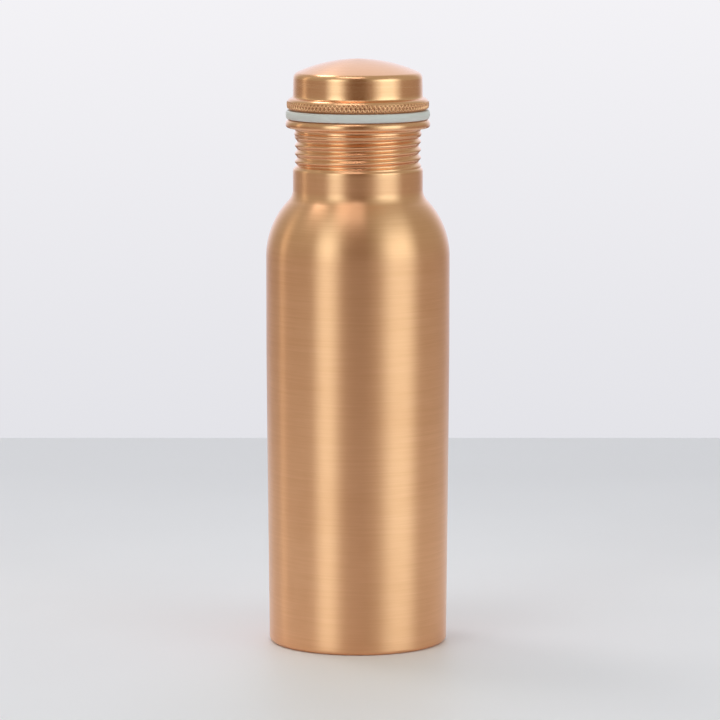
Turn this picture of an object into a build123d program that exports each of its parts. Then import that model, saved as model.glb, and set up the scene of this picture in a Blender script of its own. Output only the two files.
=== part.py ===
from build123d import *
import math
import os

os.makedirs("parts", exist_ok=True)

# Copper water bottle with a screw cap. Millimetres, +Z up, foot on z = 0, axis on Z.

# Overall size
TOTAL_HEIGHT = 233.3
SHEET = 0.8

# Bottle body
BODY_RADIUS = 36.5
WAIST_RADIUS = 36.12
FOOT_RADIUS = 35.5
FOOT_CORNER = 1.8
FULL_WIDTH_FROM = 118.0
BASE_RECESS = 1.6
RECESS_RADIUS = 27.0
RING_INNER_RADIUS = 29.5

# Shoulder and neck
SHOULDER_START = 155.0
SHOULDER_RADIUS = 32.0
NECK_FILLET = 6.7
NECK_RADIUS = 25.8
NECK_EDGE = 0.5

# Rolled thread, right hand
THREAD_PITCH = 3.2
THREAD_ROOT = 24.15
THREAD_DEPTH = 0.95
THREAD_BOTTOM = 190.2
THREAD_TOP = 203.1
RIDGE_HALF = 0.97
HELIX_START = 184.7
HELIX_TURNS = 7.0
FLANK_SLOPE = 0.8

# Lip of the mouth
BAND_RADIUS = 25.3
BAND_TOP = 204.2
THROAT_RADIUS = 24.95
MOUTH_RADIUS = 24.6
LIP_RADIUS = 28.7
LIP_BOTTOM = 206.1
LIP_TOP = 209.6
LIP_WIDEST = 207.5

# Gasket
GASKET_RADIUS = 28.6
GASKET_BORE = 24.45
GASKET_TOP = 213.0

# Cap dome with its rolled bead
BEAD_CENTRE_RADIUS = 25.6
BEAD_CENTRE_HEIGHT = 215.45
BEAD_ROLL = 2.65
CURL_BORE = 25.0
CURL_SHEET = 0.6
SIDE_FOOT_RADIUS = 25.75
SIDE_TOP_RADIUS = 25.6
DOME_RADIUS = 58.0
DOME_CORNER = 2.8

# Threaded plug inside the cap
PLUG_RADIUS = 24.05
PLUG_ROOT = 23.05
PLUG_RISE = 0.9
PLUG_RIDGE_HALF = 0.8
PLUG_BOTTOM = 189.4
PLUG_SMOOTH_FROM = 206.0
PLUG_CORNER = 2.4
FLANGE_RADIUS = 26.6


def arc(centre, radius, start, sweep_angle):
    return CenterArc(centre, radius, start, sweep_angle)


def outline_face(edges):
    """A face in the XZ plane from edges that run in order round it."""
    wire = Wire([Plane.XZ * edge for edge in edges])
    return Face(wire)


def turned(edges):
    return revolve(outline_face(edges), axis=Axis.Z, revolution_arc=360)


def chain(*points):
    return [Line(points[i], points[i + 1]) for i in range(len(points) - 1)]


def helical_ridge(root, rise, half):
    """A rounded ridge that climbs a cylinder at the thread's pitch."""
    path = Helix(THREAD_PITCH, THREAD_PITCH * HELIX_TURNS, root, center=(0, 0, HELIX_START))
    start = path @ 0
    section_plane = Plane(origin=start, x_dir=Vector(start.X, start.Y, 0), z_dir=path % 0)
    embed = 0.5
    wide = half + embed * FLANK_SLOPE
    shoulder = rise - 0.3
    narrow = half - shoulder * FLANK_SLOPE
    section = make_face(
        [
            Line((-embed, -wide), (shoulder, -narrow)),
            ThreePointArc((shoulder, -narrow), (rise, 0), (shoulder, narrow)),
            Line((shoulder, narrow), (-embed, wide)),
            Line((-embed, wide), (-embed, -wide)),
        ]
    )
    return sweep(section_plane * section, path=path, is_frenet=True)


def slab(radius, low, high):
    return Pos(0, 0, low) * Cylinder(
        radius, high - low, align=(Align.CENTER, Align.CENTER, Align.MIN)
    )


def threaded_core(root, rise, half, low, high):
    """A cylinder with the helical ridge round it, cut flat at both ends."""
    core = slab(root, HELIX_START - 2, HELIX_START + THREAD_PITCH * HELIX_TURNS + 2)
    return (core + helical_ridge(root, rise, half)) & slab(root + 5, low, high)


def shoulder_arcs(inset):
    centre_a = (BODY_RADIUS - SHOULDER_RADIUS, SHOULDER_START)
    across = NECK_RADIUS + NECK_FILLET - centre_a[0]
    reach = SHOULDER_RADIUS + NECK_FILLET
    rise = math.sqrt(reach**2 - across**2)
    centre_b = (NECK_RADIUS + NECK_FILLET, SHOULDER_START + rise)
    angle = math.degrees(math.atan2(rise, across))
    shoulder = arc(centre_a, SHOULDER_RADIUS - inset, 0, angle)
    fillet_arc = arc(centre_b, NECK_FILLET + inset, 180 + angle, -angle)
    return shoulder, fillet_arc


def bottle_wall(inset):
    """Edges from the axis at the base, up the wall, to the foot of the thread."""
    base = chain(
        (0, BASE_RECESS + inset),
        (RECESS_RADIUS, BASE_RECESS + inset),
        (RING_INNER_RADIUS, inset),
        (FOOT_RADIUS - FOOT_CORNER, inset),
    )
    corner = arc((FOOT_RADIUS - FOOT_CORNER, FOOT_CORNER), FOOT_CORNER - inset, -90, 90)
    side = ThreePointArc(
        (FOOT_RADIUS - inset, FOOT_CORNER),
        (WAIST_RADIUS - inset, FULL_WIDTH_FROM / 2),
        (BODY_RADIUS - inset, FULL_WIDTH_FROM),
    )
    straight = Line((BODY_RADIUS - inset, FULL_WIDTH_FROM), (BODY_RADIUS - inset, SHOULDER_START))
    shoulder, fillet_arc = shoulder_arcs(inset)
    return base + [corner, side, straight, shoulder, fillet_arc]


def bottle_outside():
    wall = bottle_wall(0)
    neck_edge = ThreePointArc(
        (NECK_RADIUS, THREAD_BOTTOM - NECK_EDGE),
        (NECK_RADIUS - 0.3 * NECK_EDGE, THREAD_BOTTOM - 0.3 * NECK_EDGE),
        (NECK_RADIUS - NECK_EDGE, THREAD_BOTTOM),
    )
    lower = turned(
        wall
        + [Line(wall[-1] @ 1, neck_edge @ 0), neck_edge]
        + chain(neck_edge @ 1, (0, THREAD_BOTTOM), (0, BASE_RECESS))
    )
    thread = threaded_core(THREAD_ROOT, THREAD_DEPTH, RIDGE_HALF, THREAD_BOTTOM, THREAD_TOP)
    band = ThreePointArc(
        (BAND_RADIUS - 0.35, THREAD_TOP),
        (BAND_RADIUS, THREAD_TOP + 0.65),
        (BAND_RADIUS - 0.3, BAND_TOP),
    )
    flare = ThreePointArc(
        (THROAT_RADIUS, LIP_BOTTOM - 0.9),
        (THROAT_RADIUS + 0.4, LIP_BOTTOM - 0.3),
        (THROAT_RADIUS + 1.3, LIP_BOTTOM),
    )
    edge_low = ThreePointArc(
        (LIP_RADIUS - 1.1, LIP_BOTTOM),
        (LIP_RADIUS - 0.3, LIP_BOTTOM + 0.4),
        (LIP_RADIUS, LIP_WIDEST),
    )
    edge_high = ThreePointArc(
        (LIP_RADIUS, LIP_WIDEST),
        (LIP_RADIUS - 0.4, LIP_TOP - 0.7),
        (LIP_RADIUS - 1.7, LIP_TOP),
    )
    upper = turned(
        [band]
        + chain(band @ 1, (THROAT_RADIUS, BAND_TOP + 0.4), flare @ 0)
        + [flare, Line(flare @ 1, edge_low @ 0), edge_low, edge_high]
        + chain(edge_high @ 1, (0, LIP_TOP), (0, THREAD_TOP), band @ 0)
    )
    return lower + thread + upper


def bottle_inside():
    root = THREAD_ROOT - SHEET
    over = LIP_TOP + 1.0
    wall = bottle_wall(SHEET)
    lower_top = THREAD_BOTTOM - SHEET
    upper_foot = THREAD_TOP + SHEET
    lower = turned(
        wall
        + chain(
            wall[-1] @ 1,
            (NECK_RADIUS - SHEET, lower_top),
            (0, lower_top),
            (0, BASE_RECESS + SHEET),
        )
    )
    thread = threaded_core(root, THREAD_DEPTH, RIDGE_HALF, lower_top, upper_foot)
    rim = ThreePointArc(
        (MOUTH_RADIUS, LIP_TOP - 0.6),
        (MOUTH_RADIUS + 0.18, LIP_TOP - 0.18),
        (MOUTH_RADIUS + 0.6, LIP_TOP),
    )
    upper = turned(
        chain((0, upper_foot), (MOUTH_RADIUS, upper_foot), rim @ 0)
        + [rim]
        + chain(rim @ 1, (MOUTH_RADIUS + 0.6, over), (0, over), (0, upper_foot))
    )
    return lower + thread + upper


def make_body_shell():
    return bottle_outside() - bottle_inside()


def make_gasket():
    middle = (LIP_TOP + GASKET_TOP) / 2
    bulge = ThreePointArc(
        (GASKET_RADIUS - 0.9, LIP_TOP),
        (GASKET_RADIUS, middle),
        (GASKET_RADIUS - 0.9, GASKET_TOP),
    )
    rest = chain(
        (GASKET_RADIUS - 0.9, GASKET_TOP),
        (GASKET_BORE, GASKET_TOP),
        (GASKET_BORE, LIP_TOP),
        (GASKET_RADIUS - 0.9, LIP_TOP),
    )
    return turned([bulge] + rest)


def dome_arcs(inset):
    """The corner arc and the crown arc of the cap, from the side to the axis."""
    crown_centre = (0, TOTAL_HEIGHT - DOME_RADIUS)
    across = SIDE_TOP_RADIUS - DOME_CORNER
    reach = DOME_RADIUS - DOME_CORNER
    rise = math.sqrt(reach**2 - across**2)
    corner_centre = (across, crown_centre[1] + rise)
    angle = math.degrees(math.atan2(rise, across))
    corner = arc(corner_centre, DOME_CORNER - inset, 0, angle)
    crown = arc(crown_centre, DOME_RADIUS - inset, angle, 90 - angle)
    return corner, crown


def make_cap_dome():
    corner, crown = dome_arcs(0)
    bead_top = BEAD_CENTRE_HEIGHT + BEAD_ROLL
    drop = BEAD_CENTRE_HEIGHT - GASKET_TOP
    flat_reach = BEAD_CENTRE_RADIUS + math.sqrt(BEAD_ROLL**2 - drop**2)
    foot_turn = ThreePointArc(
        (BEAD_CENTRE_RADIUS + 0.55, bead_top - 0.06),
        (SIDE_FOOT_RADIUS + 0.1, bead_top + 0.2),
        (SIDE_FOOT_RADIUS, bead_top + 0.8),
    )
    bead = ThreePointArc(
        (flat_reach, GASKET_TOP),
        (BEAD_CENTRE_RADIUS + BEAD_ROLL, BEAD_CENTRE_HEIGHT),
        (BEAD_CENTRE_RADIUS + 0.55, bead_top - 0.06),
    )
    outside = turned(
        [bead, foot_turn]
        + [Line((SIDE_FOOT_RADIUS, bead_top + 0.8), corner @ 0), corner, crown]
        + chain((0, TOTAL_HEIGHT), (0, GASKET_TOP), (flat_reach, GASKET_TOP))
    )
    inner_corner, inner_crown = dome_arcs(SHEET)
    cavity = BEAD_ROLL - SHEET
    seat = GASKET_TOP + CURL_SHEET
    slot_height = BEAD_CENTRE_HEIGHT - math.sqrt(cavity**2 - (FLANGE_RADIUS - BEAD_CENTRE_RADIUS) ** 2)
    hollow = ThreePointArc(
        (FLANGE_RADIUS, slot_height),
        (BEAD_CENTRE_RADIUS + cavity, BEAD_CENTRE_HEIGHT),
        (BEAD_CENTRE_RADIUS, BEAD_CENTRE_HEIGHT + cavity),
    )
    side_foot = (SIDE_FOOT_RADIUS - SHEET, BEAD_CENTRE_HEIGHT + cavity + 1.1)
    inside = turned(
        chain((0, seat), (FLANGE_RADIUS, seat), (FLANGE_RADIUS, slot_height))
        + [hollow]
        + chain((BEAD_CENTRE_RADIUS, BEAD_CENTRE_HEIGHT + cavity), side_foot)
        + [Line(side_foot, inner_corner @ 0), inner_corner, inner_crown]
        + chain((0, TOTAL_HEIGHT - SHEET), (0, seat))
    )
    bore = Pos(0, 0, GASKET_TOP) * Cylinder(CURL_BORE, 4 * CURL_SHEET)
    return outside - inside - bore


def make_cap_plug():
    seat = GASKET_TOP + CURL_SHEET
    thread_foot = PLUG_BOTTOM + PLUG_CORNER
    corner = arc((PLUG_ROOT - PLUG_CORNER, thread_foot), PLUG_CORNER, -90, 90)
    cup = turned(
        chain((0, PLUG_BOTTOM), corner @ 0)
        + [corner]
        + chain(corner @ 1, (0, thread_foot), (0, PLUG_BOTTOM))
    )
    thread = threaded_core(PLUG_ROOT, PLUG_RISE, PLUG_RIDGE_HALF, thread_foot, PLUG_SMOOTH_FROM)
    lead_in = turned(
        chain(
            (0, thread_foot),
            (PLUG_ROOT, thread_foot),
            (PLUG_RADIUS, thread_foot + 2.0),
            (PLUG_RADIUS, PLUG_SMOOTH_FROM),
            (0, PLUG_SMOOTH_FROM),
            (0, thread_foot),
        )
    )
    collar = slab(PLUG_RADIUS, PLUG_SMOOTH_FROM, seat)
    flange = slab(FLANGE_RADIUS, seat, seat + SHEET)
    hollow_radius = PLUG_ROOT - SHEET
    inner_corner = arc((PLUG_ROOT - PLUG_CORNER, thread_foot), PLUG_CORNER - SHEET, -90, 90)
    hollow = turned(
        chain((0, PLUG_BOTTOM + SHEET), inner_corner @ 0)
        + [inner_corner]
        + chain(
            inner_corner @ 1,
            (hollow_radius, PLUG_SMOOTH_FROM),
            (PLUG_RADIUS - SHEET, PLUG_SMOOTH_FROM + 1.0),
            (PLUG_RADIUS - SHEET, seat + 3),
            (0, seat + 3),
            (0, PLUG_BOTTOM + SHEET),
        )
    )
    return cup + (thread & lead_in) + collar + flange - hollow


parts = {
    "body_shell": make_body_shell(),
    "cap_dome": make_cap_dome(),
    "cap_plug": make_cap_plug(),
    "gasket": make_gasket(),
}

for node, shape in parts.items():
    solids = shape.solids()
    print(node, "solids", len(solids), "volume", round(shape.volume, 1), shape.bounding_box())
    export_step(solids[0] if len(solids) == 1 else shape, f"parts/{node}.step")
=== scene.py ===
import math

import bpy
import numpy as np
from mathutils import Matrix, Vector


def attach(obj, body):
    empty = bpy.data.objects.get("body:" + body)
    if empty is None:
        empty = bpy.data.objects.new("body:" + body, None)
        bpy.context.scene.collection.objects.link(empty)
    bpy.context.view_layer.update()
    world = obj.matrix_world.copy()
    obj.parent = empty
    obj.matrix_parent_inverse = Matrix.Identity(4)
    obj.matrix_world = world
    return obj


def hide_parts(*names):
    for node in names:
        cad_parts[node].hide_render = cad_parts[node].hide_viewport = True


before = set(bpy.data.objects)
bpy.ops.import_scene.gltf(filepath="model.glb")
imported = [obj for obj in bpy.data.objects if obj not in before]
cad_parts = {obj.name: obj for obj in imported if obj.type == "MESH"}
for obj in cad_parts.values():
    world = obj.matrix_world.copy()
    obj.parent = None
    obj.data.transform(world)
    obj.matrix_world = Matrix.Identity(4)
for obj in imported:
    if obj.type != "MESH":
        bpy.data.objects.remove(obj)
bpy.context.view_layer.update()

MM = 0.001

# Sizes in millimetres, the same as the CAD solids
TOTAL_HEIGHT = 233.3
SHEET = 0.8
BODY_RADIUS = 36.5
FOOT_RADIUS = 35.5
FOOT_CORNER = 1.8
FULL_WIDTH_FROM = 118.0
TAPER_BOW = 0.24
BASE_RECESS = 1.6
RECESS_RADIUS = 27.0
RING_INNER_RADIUS = 29.5
SHOULDER_START = 155.0
SHOULDER_RADIUS = 32.0
NECK_FILLET = 6.7
NECK_RADIUS = 25.8
NECK_FROM = 182.0
PITCH = 3.2
CREST_RADIUS = 25.1
THREAD_DEPTH = 0.95
CREST_HEIGHT = 184.7
THREAD_BOTTOM = 190.2
THREAD_TOP = 203.1
THREAD_RING_STEP = 0.11
BAND_RADIUS = 25.3
BAND_TOP = 204.2
THROAT_RADIUS = 24.95
MOUTH_RADIUS = 24.6
LIP_RADIUS = 28.7
LIP_BOTTOM = 206.1
LIP_WIDEST = 207.5
LIP_TOP = 209.6
GASKET_RADIUS = 28.6
GASKET_BORE = 24.45
GASKET_TOP = 213.0
BEAD_CENTRE_RADIUS = 25.6
BEAD_CENTRE_HEIGHT = 215.45
BEAD_ROLL = 2.65
SIDE_FOOT_RADIUS = 25.75
SIDE_TOP_RADIUS = 25.6
DOME_RADIUS = 58.0
DOME_CORNER = 2.8
KNURL_COUNT = 96
KNURL_DEPTH = 0.42
KNURL_RADIUS = 28.2
KNURL_RISE = 2.96
PLUG_RADIUS = 24.05
PLUG_DEPTH = 0.9
PLUG_CREST = 23.95
PLUG_BOTTOM = 189.4
PLUG_SMOOTH_FROM = 206.0
PLUG_CORNER = 2.4
PLUG_RING_STEP = 0.12
FLANGE_RADIUS = 26.6
CURL_SHEET = 0.6


# ---------------------------------------------------------------- profiles

def arc(centre, radius, start, end, count):
    """Points (r, z) on an arc, from one angle to another, in degrees."""
    angles = np.radians(np.linspace(start, end, count))
    return [(centre[0] + radius * math.cos(a), centre[1] + radius * math.sin(a)) for a in angles]


def line(start, end, step=4.0):
    length = math.hypot(end[0] - start[0], end[1] - start[1])
    count = max(2, int(length / step) + 1)
    return [
        (start[0] + (end[0] - start[0]) * t, start[1] + (end[1] - start[1]) * t)
        for t in np.linspace(0, 1, count)
    ]


def joined(*runs):
    """One list of points from several runs, without doubled points."""
    points = []
    for run in runs:
        for point in run:
            if not points or math.dist(points[-1], point) > 1e-4:
                points.append(point)
    return points


def three_point_arc(start, middle, end, count):
    """Points (r, z) on the arc from start through middle to end."""
    (ax, ay), (bx, by), (cx, cy) = start, middle, end
    d = 2 * (ax * (by - cy) + bx * (cy - ay) + cx * (ay - by))
    a2, b2, c2 = ax * ax + ay * ay, bx * bx + by * by, cx * cx + cy * cy
    x = (a2 * (by - cy) + b2 * (cy - ay) + c2 * (ay - by)) / d
    y = (a2 * (cx - bx) + b2 * (ax - cx) + c2 * (bx - ax)) / d
    first = math.degrees(math.atan2(ay - y, ax - x))
    sweep = (math.degrees(math.atan2(cy - y, cx - x)) - first + 180) % 360 - 180
    return arc((x, y), math.hypot(ax - x, ay - y), first, first + sweep, count)


def smooth_step(value, low, high):
    t = np.clip((value - low) / (high - low), 0.0, 1.0)
    return t * t * (3 - 2 * t)


# ---------------------------------------------------------------- lathe

def strip(low, low_count, high, high_count):
    """Faces between two rings of points, whose counts are equal or a whole multiple."""
    count = min(low_count, high_count)
    low_step = low_count // count
    high_step = high_count // count
    faces = []
    for i in range(count):
        along = [low + (i * low_step + k) % low_count for k in range(low_step + 1)]
        back = [high + (i * high_step + k) % high_count for k in range(high_step, -1, -1)]
        faces.append(tuple(along + back))
    return faces


def turned(name, outline, segments, shift, material, fine=None):
    """A closed shell turned round the axis from a closed outline of (radius, height).

    A point on the axis becomes one vertex. shift(r, z, angle) gives a change of
    radius in millimetres. fine(r, z) is true where a ring has four times the points.
    """
    rings = []
    verts = []
    for r, z in outline:
        count = 1 if r < 1e-6 else segments * (4 if fine is not None and fine(r, z) else 1)
        angles = np.arange(count) * (2 * math.pi / count)
        radius = np.full(count, float(r))
        if shift is not None and count > 1:
            radius = radius + shift(radius, np.full(count, float(z)), angles)
        rings.append((len(verts), count))
        x, y = radius * np.cos(angles) * MM, radius * np.sin(angles) * MM
        verts += list(zip(x, y, [z * MM] * count))
    faces = []
    for (a, a_count), (b, b_count) in zip(rings, rings[1:] + rings[:1]):
        if a_count == 1 and b_count == 1:
            continue
        if a_count == 1:
            faces += [(a, b + (i + 1) % b_count, b + i) for i in range(b_count)]
        elif b_count == 1:
            faces += [(b, a + i, a + (i + 1) % a_count) for i in range(a_count)]
        else:
            faces += strip(a, a_count, b, b_count)
    mesh = bpy.data.meshes.new(name)
    mesh.from_pydata([tuple(map(float, v)) for v in verts], [], faces)
    mesh.update()
    mesh.shade_smooth()
    mesh.materials.append(material)
    piece = bpy.data.objects.new(name, mesh)
    bpy.context.scene.collection.objects.link(piece)
    return piece


# ---------------------------------------------------------------- materials

class Nodes:
    """Short calls for building a node tree."""

    def __init__(self, tree):
        self.tree = tree

    def add(self, kind, **settings):
        node = self.tree.nodes.new(kind)
        for key, value in settings.items():
            setattr(node, key, value)
        return node

    def link(self, source, target):
        self.tree.links.new(source, target)

    def math(self, operation, a, b=None, c=None):
        node = self.add("ShaderNodeMath", operation=operation)
        for socket, value in zip(node.inputs, (a, b, c)):
            if value is None:
                continue
            if isinstance(value, (int, float)):
                socket.default_value = value
            else:
                self.link(value, socket)
        return node.outputs[0]

    def noise(self, vector, scale, detail=2.0, roughness=0.5):
        node = self.add("ShaderNodeTexNoise")
        node.inputs["Scale"].default_value = scale
        node.inputs["Detail"].default_value = detail
        node.inputs["Roughness"].default_value = roughness
        self.link(vector, node.inputs["Vector"])
        return node.outputs["Fac"]

    def ramp(self, value, stops):
        node = self.add("ShaderNodeValToRGB")
        elements = node.color_ramp.elements
        while len(elements) < len(stops):
            elements.new(0.5)
        for element, (position, colour) in zip(elements, stops):
            element.position = position
            element.color = (*colour, 1.0)
        self.link(value, node.inputs["Fac"])
        return node.outputs["Color"]

    def combine(self, x, y, z):
        node = self.add("ShaderNodeCombineXYZ")
        for socket, value in zip(node.inputs, (x, y, z)):
            if isinstance(value, (int, float)):
                socket.default_value = value
            else:
                self.link(value, socket)
        return node.outputs[0]

    def map_range(self, value, from_min, from_max, to_min, to_max):
        node = self.add("ShaderNodeMapRange")
        for key, number in zip(
            ("From Min", "From Max", "To Min", "To Max"), (from_min, from_max, to_min, to_max)
        ):
            node.inputs[key].default_value = number
        self.link(value, node.inputs["Value"])
        return node.outputs["Result"]

    def mix_colour(self, factor, a, b):
        node = self.add("ShaderNodeMix", data_type="RGBA")
        for socket, value in ((node.inputs[0], factor), (node.inputs[6], a), (node.inputs[7], b)):
            if isinstance(value, (int, float)):
                socket.default_value = value
            elif isinstance(value, tuple):
                socket.default_value = (*value, 1.0)
            else:
                self.link(value, socket)
        return node.outputs[2]


def new_material(name):
    material = bpy.data.materials.new(name)
    material.use_nodes = True
    tree = material.node_tree
    shader = tree.nodes["Principled BSDF"]
    return material, Nodes(tree), shader


COPPER_LIGHT = (0.925, 0.515, 0.292)
COPPER_DARK = (0.84, 0.44, 0.235)
# Painted shade: the dark colour laid into the knurl's sunk diamonds
PIT_SHADE = (0.30, 0.13, 0.06)

# The neck is smoother than the wall, and painted shade darkens the knurl's sunk diamonds. Millimetres.
POLISHED_FROM = 187.0
POLISHED_FULL = 191.5
POLISHED_BY = 0.10
PIT_FLOOR_RADIUS = 27.72
PIT_RIM_RADIUS = 28.0
PIT_BOTTOM = 213.7
PIT_TOP = 216.6


def brushed_copper(name, roughness, anisotropy, line_scale, bump, polished=False, pit_shade=False):
    """Copper brushed round the axis: fine rings on walls and on the crown alike."""
    material, nodes, shader = new_material(name)
    position = nodes.add("ShaderNodeTexCoord").outputs["Object"]
    split = nodes.add("ShaderNodeSeparateXYZ")
    nodes.link(position, split.inputs[0])
    x, y, z = split.outputs
    square = nodes.math("ADD", nodes.math("MULTIPLY", x, x), nodes.math("MULTIPLY", y, y))
    radius = nodes.math("SQRT", square)
    along = nodes.math("SUBTRACT", z, radius)

    def streaks(across, around, detail):
        vector = nodes.combine(
            nodes.math("MULTIPLY", x, around),
            nodes.math("MULTIPLY", y, around),
            nodes.math("MULTIPLY", along, across),
        )
        return nodes.noise(vector, 1.0, detail, 0.6)

    fine = streaks(line_scale, 55.0, 3.0)
    coarse = streaks(line_scale * 0.22, 30.0, 2.0)
    patches = nodes.noise(position, 34.0, 3.0, 0.55)
    tone = nodes.math("ADD", nodes.math("MULTIPLY", fine, 0.45), nodes.math("MULTIPLY", coarse, 0.55))
    colour = nodes.ramp(tone, [(0.30, COPPER_DARK), (0.70, COPPER_LIGHT)])
    tarnish = tuple(c * f for c, f in zip(COPPER_DARK, (0.90, 0.84, 0.78)))
    patchy = nodes.map_range(patches, 0.50, 0.78, 0.0, 0.30)
    colour = nodes.mix_colour(patchy, colour, tarnish)
    # Painted shade: the knurl's sunk diamonds are darkened to stand in for the shade that falls in them
    if pit_shade:
        sunk = nodes.map_range(radius, PIT_FLOOR_RADIUS * MM, PIT_RIM_RADIUS * MM, 0.75, 0.0)
        above = nodes.map_range(z, PIT_BOTTOM * MM, (PIT_BOTTOM + 0.3) * MM, 0.0, 1.0)
        below = nodes.map_range(z, (PIT_TOP - 0.3) * MM, PIT_TOP * MM, 1.0, 0.0)
        sunk = nodes.math("MULTIPLY", sunk, nodes.math("MULTIPLY", above, below))
        colour = nodes.mix_colour(sunk, colour, PIT_SHADE)
    nodes.link(colour, shader.inputs["Base Color"])
    shader.inputs["Metallic"].default_value = 1.0
    spread = nodes.math("ADD", nodes.math("MULTIPLY", coarse, 0.6), nodes.math("MULTIPLY", patches, 0.4))
    rough = nodes.map_range(spread, 0.3, 0.7, roughness - 0.035, roughness + 0.035)
    if polished:
        above = nodes.map_range(z, POLISHED_FROM * MM, POLISHED_FULL * MM, 0.0, POLISHED_BY)
        rough = nodes.math("SUBTRACT", rough, above)
    nodes.link(rough, shader.inputs["Roughness"])
    shader.inputs["Anisotropic"].default_value = anisotropy
    shader.inputs["Anisotropic Rotation"].default_value = 0.25
    tangent = nodes.add("ShaderNodeTangent", direction_type="RADIAL", axis="Z")
    nodes.link(tangent.outputs[0], shader.inputs["Tangent"])
    bump_node = nodes.add("ShaderNodeBump")
    bump_node.inputs["Strength"].default_value = bump
    bump_node.inputs["Distance"].default_value = 0.00002
    nodes.link(tone, bump_node.inputs["Height"])
    nodes.link(bump_node.outputs[0], shader.inputs["Normal"])
    return material


body_copper = brushed_copper("body_copper", 0.345, 0.90, 4200.0, 0.55, polished=True)
cap_copper = brushed_copper("cap_copper", 0.26, 0.60, 5200.0, 0.28, pit_shade=True)
plug_copper = brushed_copper("plug_copper", 0.38, 0.60, 4200.0, 0.30)


def silicone(name):
    material, nodes, shader = new_material(name)
    position = nodes.add("ShaderNodeTexCoord").outputs["Object"]
    grain = nodes.noise(position, 2600.0, 2.0, 0.5)
    cloud = nodes.noise(position, 90.0, 3.0, 0.5)
    colour = nodes.ramp(cloud, [(0.3, (0.70, 0.685, 0.68)), (0.7, (0.77, 0.755, 0.745))])
    nodes.link(colour, shader.inputs["Base Color"])
    nodes.link(nodes.map_range(grain, 0.3, 0.7, 0.42, 0.54), shader.inputs["Roughness"])
    shader.inputs["Subsurface Weight"].default_value = 0.25
    shader.inputs["Subsurface Radius"].default_value = (0.8, 0.8, 0.8)
    shader.inputs["Subsurface Scale"].default_value = 0.0015
    bump_node = nodes.add("ShaderNodeBump")
    bump_node.inputs["Strength"].default_value = 0.15
    bump_node.inputs["Distance"].default_value = 0.00003
    nodes.link(grain, bump_node.inputs["Height"])
    nodes.link(bump_node.outputs[0], shader.inputs["Normal"])
    return material


gasket_silicone = silicone("gasket_silicone")


# ---------------------------------------------------------------- bottle

def wall_points(inset):
    """The bottle's wall from the axis at the foot to the top of the shoulder."""
    centre_a = (BODY_RADIUS - SHOULDER_RADIUS, SHOULDER_START)
    across = NECK_RADIUS + NECK_FILLET - centre_a[0]
    rise = math.sqrt((SHOULDER_RADIUS + NECK_FILLET) ** 2 - across**2)
    centre_b = (NECK_RADIUS + NECK_FILLET, SHOULDER_START + rise)
    angle = math.degrees(math.atan2(rise, across))
    taper = []
    for z in np.linspace(FOOT_CORNER, FULL_WIDTH_FROM, 30):
        t = (z - FOOT_CORNER) / (FULL_WIDTH_FROM - FOOT_CORNER)
        bowed = (1 + TAPER_BOW) * t - TAPER_BOW * t * t
        taper.append((FOOT_RADIUS + (BODY_RADIUS - FOOT_RADIUS) * bowed - inset, z))
    return joined(
        line((0, BASE_RECESS + inset), (RECESS_RADIUS - 1.5, BASE_RECESS + inset), 3.0),
        [(RECESS_RADIUS - 0.4, BASE_RECESS + inset - 0.06)],
        [(RECESS_RADIUS + 0.5, BASE_RECESS + inset - 0.38)],
        [(RING_INNER_RADIUS - 0.6, inset + 0.32), (RING_INNER_RADIUS + 0.3, inset + 0.05)],
        line((RING_INNER_RADIUS + 1.0, inset), (FOOT_RADIUS - FOOT_CORNER, inset), 1.0),
        arc((FOOT_RADIUS - FOOT_CORNER, FOOT_CORNER), FOOT_CORNER - inset, -90, 0, 9),
        taper,
        line((BODY_RADIUS - inset, FULL_WIDTH_FROM), (BODY_RADIUS - inset, SHOULDER_START), 3.0),
        arc(centre_a, SHOULDER_RADIUS - inset, 0, angle, 40),
        arc(centre_b, NECK_FILLET + inset, 180 + angle, 180, 18),
    )


def neck_outside():
    top = THREAD_TOP
    zone = [(CREST_RADIUS, z) for z in np.arange(THREAD_BOTTOM + 0.3, top - 0.1, THREAD_RING_STEP)]
    return joined(
        line((NECK_RADIUS, NECK_FROM), (NECK_RADIUS, THREAD_BOTTOM - 1.1), 1.5),
        [
            (NECK_RADIUS - 0.02, THREAD_BOTTOM - 0.8),
            (NECK_RADIUS - 0.10, THREAD_BOTTOM - 0.5),
            (NECK_RADIUS - 0.28, THREAD_BOTTOM - 0.22),
            (NECK_RADIUS - 0.5, THREAD_BOTTOM),
        ],
        zone,
        [(BAND_RADIUS - 0.22, top + 0.05), (BAND_RADIUS - 0.06, top + 0.3), (BAND_RADIUS, top + 0.65)],
        [(BAND_RADIUS - 0.05, top + 1.0), (BAND_RADIUS - 0.2, BAND_TOP)],
        [(THROAT_RADIUS + 0.03, BAND_TOP + 0.4), (THROAT_RADIUS, BAND_TOP + 0.8)],
        [(THROAT_RADIUS, LIP_BOTTOM - 0.9), (THROAT_RADIUS + 0.1, LIP_BOTTOM - 0.62)],
        [(THROAT_RADIUS + 0.4, LIP_BOTTOM - 0.3), (THROAT_RADIUS + 0.82, LIP_BOTTOM - 0.08)],
        line((THROAT_RADIUS + 1.3, LIP_BOTTOM), (LIP_RADIUS - 1.1, LIP_BOTTOM), 0.6),
        three_point_arc(
            (LIP_RADIUS - 1.1, LIP_BOTTOM),
            (LIP_RADIUS - 0.3, LIP_BOTTOM + 0.4),
            (LIP_RADIUS, LIP_WIDEST),
            9,
        ),
        three_point_arc(
            (LIP_RADIUS, LIP_WIDEST),
            (LIP_RADIUS - 0.4, LIP_TOP - 0.7),
            (LIP_RADIUS - 1.7, LIP_TOP),
            13,
        ),
    )


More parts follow.
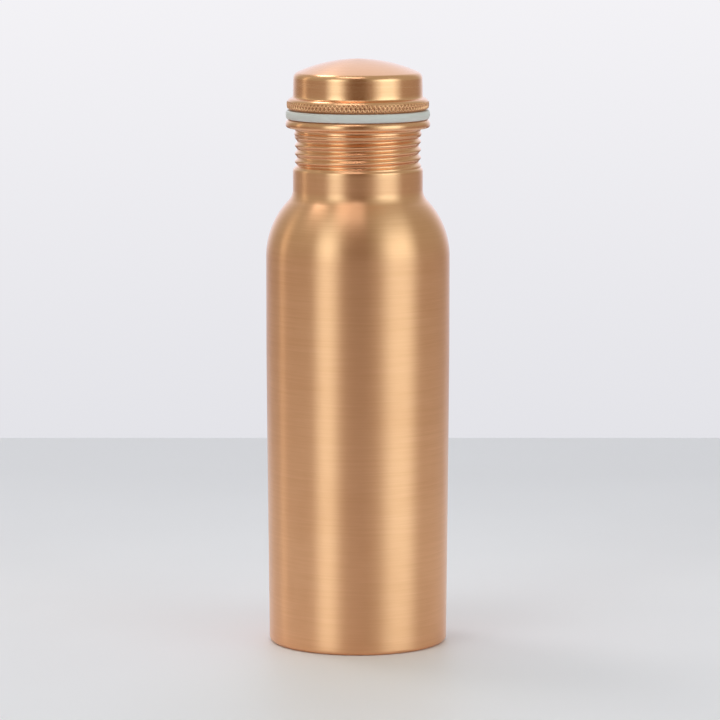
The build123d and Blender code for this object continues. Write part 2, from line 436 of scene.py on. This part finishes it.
def neck_inside():
    top = THREAD_TOP + SHEET
    crest = CREST_RADIUS - SHEET
    zone = [(crest, z) for z in np.arange(top - 0.1, THREAD_BOTTOM - SHEET, -THREAD_RING_STEP)]
    return joined(
        arc((MOUTH_RADIUS + 0.8, LIP_TOP - 0.8), 0.8, 90, 180, 7),
        line((MOUTH_RADIUS, LIP_TOP - 1.0), (MOUTH_RADIUS, top + 0.3), 1.0),
        [(MOUTH_RADIUS - 0.15, top)],
        zone,
        [(NECK_RADIUS - SHEET - 0.3, THREAD_BOTTOM - SHEET - 0.1)],
        line((NECK_RADIUS - SHEET, THREAD_BOTTOM - SHEET - 0.5), (NECK_RADIUS - SHEET, NECK_FROM), 1.5),
    )


def thread_wave(height, around):
    """0 on the crest and 1 in the valley of the right-hand thread."""
    turn = (height - CREST_HEIGHT) / PITCH - around / (2 * math.pi)
    return 0.5 - 0.5 * np.cos(2 * math.pi * turn)


def bottle_shift(radius, height, around):
    outside = radius > CREST_RADIUS - 0.4 * SHEET
    start = np.where(outside, THREAD_BOTTOM + 0.1, THREAD_BOTTOM - 0.6)
    stop = np.where(outside, THREAD_TOP - 0.1, THREAD_TOP + 0.7)
    window = smooth_step(height, start, start + 1.1) * (1 - smooth_step(height, stop - 0.9, stop))
    near = (radius < CREST_RADIUS + 0.01) & (height > NECK_FROM + 3.0) & (height < THREAD_TOP + SHEET)
    return np.where(near, -THREAD_DEPTH * window * thread_wave(height, around), 0.0)


outside_points = joined(wall_points(0), neck_outside())
inside_points = joined(neck_inside(), list(reversed(wall_points(SHEET))))
bottle_skin = turned(
    "bottle_skin", joined(outside_points, inside_points), 288, bottle_shift, body_copper
)
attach(bottle_skin, "bottle")
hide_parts("body_shell")


# ---------------------------------------------------------------- gasket

GASKET_EDGE = 0.75


def gasket_points():
    middle = (LIP_TOP + GASKET_TOP) / 2
    half = (GASKET_TOP - LIP_TOP) / 2
    edge = [
        (GASKET_RADIUS - GASKET_EDGE + GASKET_EDGE * math.cos(a), middle + half * math.sin(a))
        for a in np.linspace(-math.pi / 2, math.pi / 2, 15)
    ]
    return joined(
        edge,
        line((GASKET_RADIUS - 1.6, GASKET_TOP), (GASKET_BORE + 0.3, GASKET_TOP), 1.0),
        [(GASKET_BORE + 0.08, GASKET_TOP - 0.08), (GASKET_BORE, GASKET_TOP - 0.3)],
        [(GASKET_BORE, middle)],
        [(GASKET_BORE, LIP_TOP + 0.3), (GASKET_BORE + 0.08, LIP_TOP + 0.08)],
        line((GASKET_BORE + 0.3, LIP_TOP), (GASKET_RADIUS - 1.6, LIP_TOP), 1.0),
    )


gasket_ring = turned("gasket_ring", gasket_points(), 240, None, gasket_silicone)
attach(gasket_ring, "seal")
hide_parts("gasket")


# ---------------------------------------------------------------- cap

def dome_points(inset):
    crown_centre = (0, TOTAL_HEIGHT - DOME_RADIUS)
    across = SIDE_TOP_RADIUS - DOME_CORNER
    rise = math.sqrt((DOME_RADIUS - DOME_CORNER) ** 2 - across**2)
    corner_centre = (across, crown_centre[1] + rise)
    angle = math.degrees(math.atan2(rise, across))
    return joined(
        arc(corner_centre, DOME_CORNER - inset, 0, angle, 24),
        arc(crown_centre, DOME_RADIUS - inset, angle, 90, 34),
    )


def cap_outside():
    bead_top = BEAD_CENTRE_HEIGHT + BEAD_ROLL
    centre = (BEAD_CENTRE_RADIUS, BEAD_CENTRE_HEIGHT)
    low_angle = math.degrees(math.asin((GASKET_TOP - BEAD_CENTRE_HEIGHT) / BEAD_ROLL))
    dome = dome_points(0)
    return joined(
        line((25.0, GASKET_TOP), (26.4, GASKET_TOP), 0.5),
        arc(centre, BEAD_ROLL, low_angle + 3, 78, 70),
        [(SIDE_FOOT_RADIUS + 0.22, bead_top + 0.1), (SIDE_FOOT_RADIUS + 0.05, bead_top + 0.4)],
        line((SIDE_FOOT_RADIUS, bead_top + 0.8), dome[0], 1.2),
        dome,
    )


def cap_inside():
    seat = GASKET_TOP + CURL_SHEET
    cavity = BEAD_ROLL - SHEET
    inner = list(reversed(dome_points(SHEET)))
    return joined(
        inner,
        line(inner[-1], (SIDE_FOOT_RADIUS - SHEET, BEAD_CENTRE_HEIGHT + cavity + 1.1), 1.5),
        arc((BEAD_CENTRE_RADIUS, BEAD_CENTRE_HEIGHT), cavity, 90, -55, 14),
        [(26.55, seat), (25.0, seat)],
    )


def knurl(radius, height, around):
    """A diamond knurl: crossed ridges left standing between sunk diamonds."""
    low = BEAD_CENTRE_HEIGHT - 1.8
    high = BEAD_CENTRE_HEIGHT + 1.2
    window = smooth_step(height, low, low + 0.3) * (1 - smooth_step(height, high - 0.3, high))
    turn = KNURL_COUNT * around / (2 * math.pi)
    lean = (height - BEAD_CENTRE_HEIGHT + 0.4) / KNURL_RISE
    one = np.abs(np.sin(math.pi * (turn + lean)))
    other = np.abs(np.sin(math.pi * (turn - lean)))
    pit = smooth_step(np.minimum(one, other), 0.30, 0.74)
    outer = radius > BEAD_CENTRE_RADIUS + 1.2
    flat = 0.6 * (KNURL_RADIUS - radius)
    return np.where(outer, window * (flat - KNURL_DEPTH * pit), 0.0)


def on_bead(radius, height):
    return radius > BEAD_CENTRE_RADIUS + 1.2 and height < BEAD_CENTRE_HEIGHT + BEAD_ROLL - 0.2


cap_skin = turned(
    "cap_skin", cap_outside() + cap_inside(), KNURL_COUNT * 3, knurl, cap_copper, on_bead
)
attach(cap_skin, "cap")
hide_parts("cap_dome")


# ---------------------------------------------------------------- plug

def plug_points():
    seat = GASKET_TOP + CURL_SHEET
    foot = PLUG_BOTTOM + PLUG_CORNER
    root = PLUG_CREST - PLUG_DEPTH
    heights = np.arange(foot + 1.6, PLUG_SMOOTH_FROM - 0.6, PLUG_RING_STEP)
    zone = [(PLUG_CREST, z) for z in heights]
    inner = root - SHEET
    return joined(
        line((0, PLUG_BOTTOM), (root - PLUG_CORNER, PLUG_BOTTOM), 3.0),
        arc((root - PLUG_CORNER, foot), PLUG_CORNER, -90, 0, 10),
        [(root + 0.05, foot + 0.4), (root + 0.35, foot + 0.8), (root + 0.7, foot + 1.2)],
        zone,
        [(PLUG_RADIUS - 0.04, PLUG_SMOOTH_FROM - 0.2)],
        line((PLUG_RADIUS, PLUG_SMOOTH_FROM + 0.2), (PLUG_RADIUS, seat - 0.3), 1.2),
        [(PLUG_RADIUS + 0.1, seat - 0.08), (PLUG_RADIUS + 0.35, seat)],
        line((PLUG_RADIUS + 0.8, seat), (FLANGE_RADIUS - 0.1, seat), 0.8),
        [(FLANGE_RADIUS, seat + 0.1), (FLANGE_RADIUS, seat + SHEET - 0.1)],
        [(FLANGE_RADIUS - 0.1, seat + SHEET)],
        line((FLANGE_RADIUS - 0.6, seat + SHEET), (PLUG_RADIUS - SHEET + 0.3, seat + SHEET), 1.0),
        line((PLUG_RADIUS - SHEET, seat + SHEET - 0.3), (PLUG_RADIUS - SHEET, PLUG_SMOOTH_FROM + 1.0), 1.5),
        line((inner, PLUG_SMOOTH_FROM), (inner, foot), 1.5),
        arc((root - PLUG_CORNER, foot), PLUG_CORNER - SHEET, 0, -90, 8),
        line((root - PLUG_CORNER - 1.0, PLUG_BOTTOM + SHEET), (0, PLUG_BOTTOM + SHEET), 3.0),
    )


def plug_shift(radius, height, around):
    foot = PLUG_BOTTOM + PLUG_CORNER
    window = smooth_step(height, foot + 1.2, foot + 2.2)
    window = window * (1 - smooth_step(height, PLUG_SMOOTH_FROM - 1.4, PLUG_SMOOTH_FROM - 0.7))
    near = (radius > PLUG_CREST - 0.01) & (height < PLUG_SMOOTH_FROM - 0.5)
    return np.where(near, -PLUG_DEPTH * window * thread_wave(height, around), 0.0)


plug_skin = turned("plug_skin", plug_points(), 240, plug_shift, plug_copper)
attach(plug_skin, "cap")
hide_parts("cap_plug")


# ---------------------------------------------------------------- table

TABLE_HALF = 0.54
TABLE_THICKNESS = 0.02
TABLE_POINTS = 160
TABLE_SQUARENESS = 12


def table_material():
    material, nodes, shader = new_material("table_white")
    position = nodes.add("ShaderNodeTexCoord").outputs["Object"]
    grain = nodes.noise(position, 900.0, 2.0, 0.5)
    cloud = nodes.noise(position, 6.0, 2.0, 0.5)
    colour = nodes.ramp(cloud, [(0.3, (0.88, 0.83, 0.87)), (0.7, (0.91, 0.86, 0.90))])
    split = nodes.add("ShaderNodeSeparateXYZ")
    nodes.link(position, split.inputs[0])
    # Painted shade: the top is darker towards the back, standing in for less light falling there
    back = nodes.map_range(split.outputs[1], 0.10, 0.42, 0.0, 0.5)
    colour = nodes.mix_colour(back, colour, (0.64, 0.60, 0.64))
    nodes.link(colour, shader.inputs["Base Color"])
    nodes.link(nodes.map_range(grain, 0.3, 0.7, 0.48, 0.56), shader.inputs["Roughness"])
    shader.inputs["Specular IOR Level"].default_value = 0.25
    return material


def make_table():
    """A flat top whose outline is a square with rounded corners."""
    count = TABLE_POINTS
    power = TABLE_SQUARENESS
    outline = []
    for i in range(count):
        a = 2 * math.pi * i / count
        c, s = math.cos(a), math.sin(a)
        reach = TABLE_HALF / (abs(c) ** power + abs(s) ** power) ** (1 / power)
        outline.append((reach * c, reach * s))
    verts = []
    for height in (0.0, -TABLE_THICKNESS):
        verts += [(x, y, height) for x, y in outline]
    faces = [tuple(range(count)), tuple(reversed(range(count, 2 * count)))]
    faces += [
        (i, i + count, (i + 1) % count + count, (i + 1) % count) for i in range(count)
    ]
    mesh = bpy.data.meshes.new("table")
    mesh.from_pydata(verts, [], faces)
    mesh.update()
    table = bpy.data.objects.new("table", mesh)
    bpy.context.scene.collection.objects.link(table)
    mesh.materials.append(table_material())
    return table


table = make_table()


# ---------------------------------------------------------------- light

ROOM = (0.48, 0.5, 0.42)
GROUND = (0.35, 0.25, 0.2)
DARK_FRONT = (0.2, 0.15, 0.1)
SOFTBOX = (2.0, 2.5, 2.5)
STRIP_LIGHT = (1.2, 1.2, 1.0)
BACK_WALL = (1.0, 1.1, 1.3)
OVERHEAD_BOX = (3.5, 3.5, 3.5)

# What the camera sees behind the table
WALL_FOOT = (0.76, 0.76, 0.8)
WALL_MIDDLE = (0.9, 0.89, 0.92)
WALL_TOP = (0.97, 0.96, 0.99)


def studio_world():
    """A plain studio for the reflections, and a pale wall for the camera.

    A dim room with two soft boxes in front, a strip at the left, a pale wall
    behind and a box overhead. Azimuth 0 is the front and 90 the right. Heights
    are the sine of the elevation.
    """
    world = bpy.data.worlds.new("studio")
    bpy.context.scene.world = world
    world.use_nodes = True
    tree = world.node_tree
    nodes = Nodes(tree)
    tree.nodes.clear()
    direction = nodes.add("ShaderNodeTexCoord").outputs["Generated"]
    split = nodes.add("ShaderNodeSeparateXYZ")
    nodes.link(direction, split.inputs[0])
    x, y, z = split.outputs
    azimuth = nodes.math("ARCTAN2", x, nodes.math("MULTIPLY", y, -1.0))

    def panel(behind, colour, centre, half, soft, low, high, fade):
        """A panel with soft edges, laid over what is behind it.

        centre, half and soft are degrees of azimuth; low, high and fade are heights.
        """
        away = nodes.math("SUBTRACT", azimuth, math.radians(centre))
        away = nodes.math("ABSOLUTE", nodes.math("WRAP", away, math.pi, -math.pi))
        across = nodes.map_range(away, math.radians(half), math.radians(half + soft), 1.0, 0.0)
        above = nodes.map_range(z, low - fade, low, 0.0, 1.0)
        below = nodes.map_range(z, high, high + fade, 1.0, 0.0)
        shown = nodes.math("MULTIPLY", across, nodes.math("MULTIPLY", above, below))
        return nodes.mix_colour(shown, behind, colour)

    colour = nodes.mix_colour(nodes.map_range(z, -0.08, 0.04, 0.0, 1.0), GROUND, ROOM)
    colour = panel(colour, BACK_WALL, centre=180, half=15, soft=30, low=-0.05, high=0.85, fade=0.1)
    colour = panel(colour, DARK_FRONT, centre=0, half=10, soft=15, low=-0.9, high=0.85, fade=0.05)
    colour = panel(colour, SOFTBOX, centre=-40, half=5, soft=15, low=0.0, high=0.45, fade=0.1)
    colour = panel(colour, SOFTBOX, centre=55, half=10, soft=20, low=0.0, high=0.45, fade=0.1)
    colour = panel(colour, STRIP_LIGHT, centre=-110, half=2, soft=5, low=0.0, high=0.45, fade=0.1)
    colour = panel(colour, OVERHEAD_BOX, centre=-25, half=35, soft=15, low=0.9, high=0.95, fade=0.02)
    studio = nodes.add("ShaderNodeBackground")
    nodes.link(colour, studio.inputs["Color"])
    wall_height = nodes.map_range(z, -0.16, 0.08, 0.0, 1.0)
    wall_colour = nodes.ramp(wall_height, [(0.0, WALL_FOOT), (0.5, WALL_MIDDLE), (1.0, WALL_TOP)])
    wall = nodes.add("ShaderNodeBackground")
    nodes.link(wall_colour, wall.inputs["Color"])
    seen = nodes.add("ShaderNodeLightPath").outputs["Is Camera Ray"]
    mix = nodes.add("ShaderNodeMixShader")
    nodes.link(seen, mix.inputs[0])
    nodes.link(studio.outputs[0], mix.inputs[1])
    nodes.link(wall.outputs[0], mix.inputs[2])
    output = nodes.add("ShaderNodeOutputWorld")
    nodes.link(mix.outputs[0], output.inputs["Surface"])


studio_world()


def area_light(name, place, target, size, power):
    data = bpy.data.lights.new(name, "AREA")
    data.shape = "SQUARE"
    data.size = size
    data.energy = power
    lamp = bpy.data.objects.new(name, data)
    lamp.location = place
    aim = Vector(target) - Vector(place)
    lamp.rotation_euler = aim.to_track_quat("-Z", "Y").to_euler()
    lamp.visible_camera = False
    bpy.context.scene.collection.objects.link(lamp)


area_light("key_light", (-0.5, 0.45, 1.3), (0.0, 0.0, 0.08), size=0.34, power=2.4)


# ---------------------------------------------------------------- camera

CAMERA_PLACE = (0.00084, -1.611, 0.3252)
CAMERA_LENS = 203.5
CAMERA_DOWN = 7.5

camera_data = bpy.data.cameras.new("camera")
camera_data.sensor_width = 36.0
camera_data.lens = CAMERA_LENS
camera_data.clip_start = 0.05
camera_data.clip_end = 20.0
camera = bpy.data.objects.new("camera", camera_data)
camera.location = CAMERA_PLACE
camera.rotation_euler = (math.radians(90.0 - CAMERA_DOWN), 0.0, 0.0)
bpy.context.scene.collection.objects.link(camera)
bpy.context.scene.camera = camera
bpy.context.scene.view_settings.view_transform = "Standard"
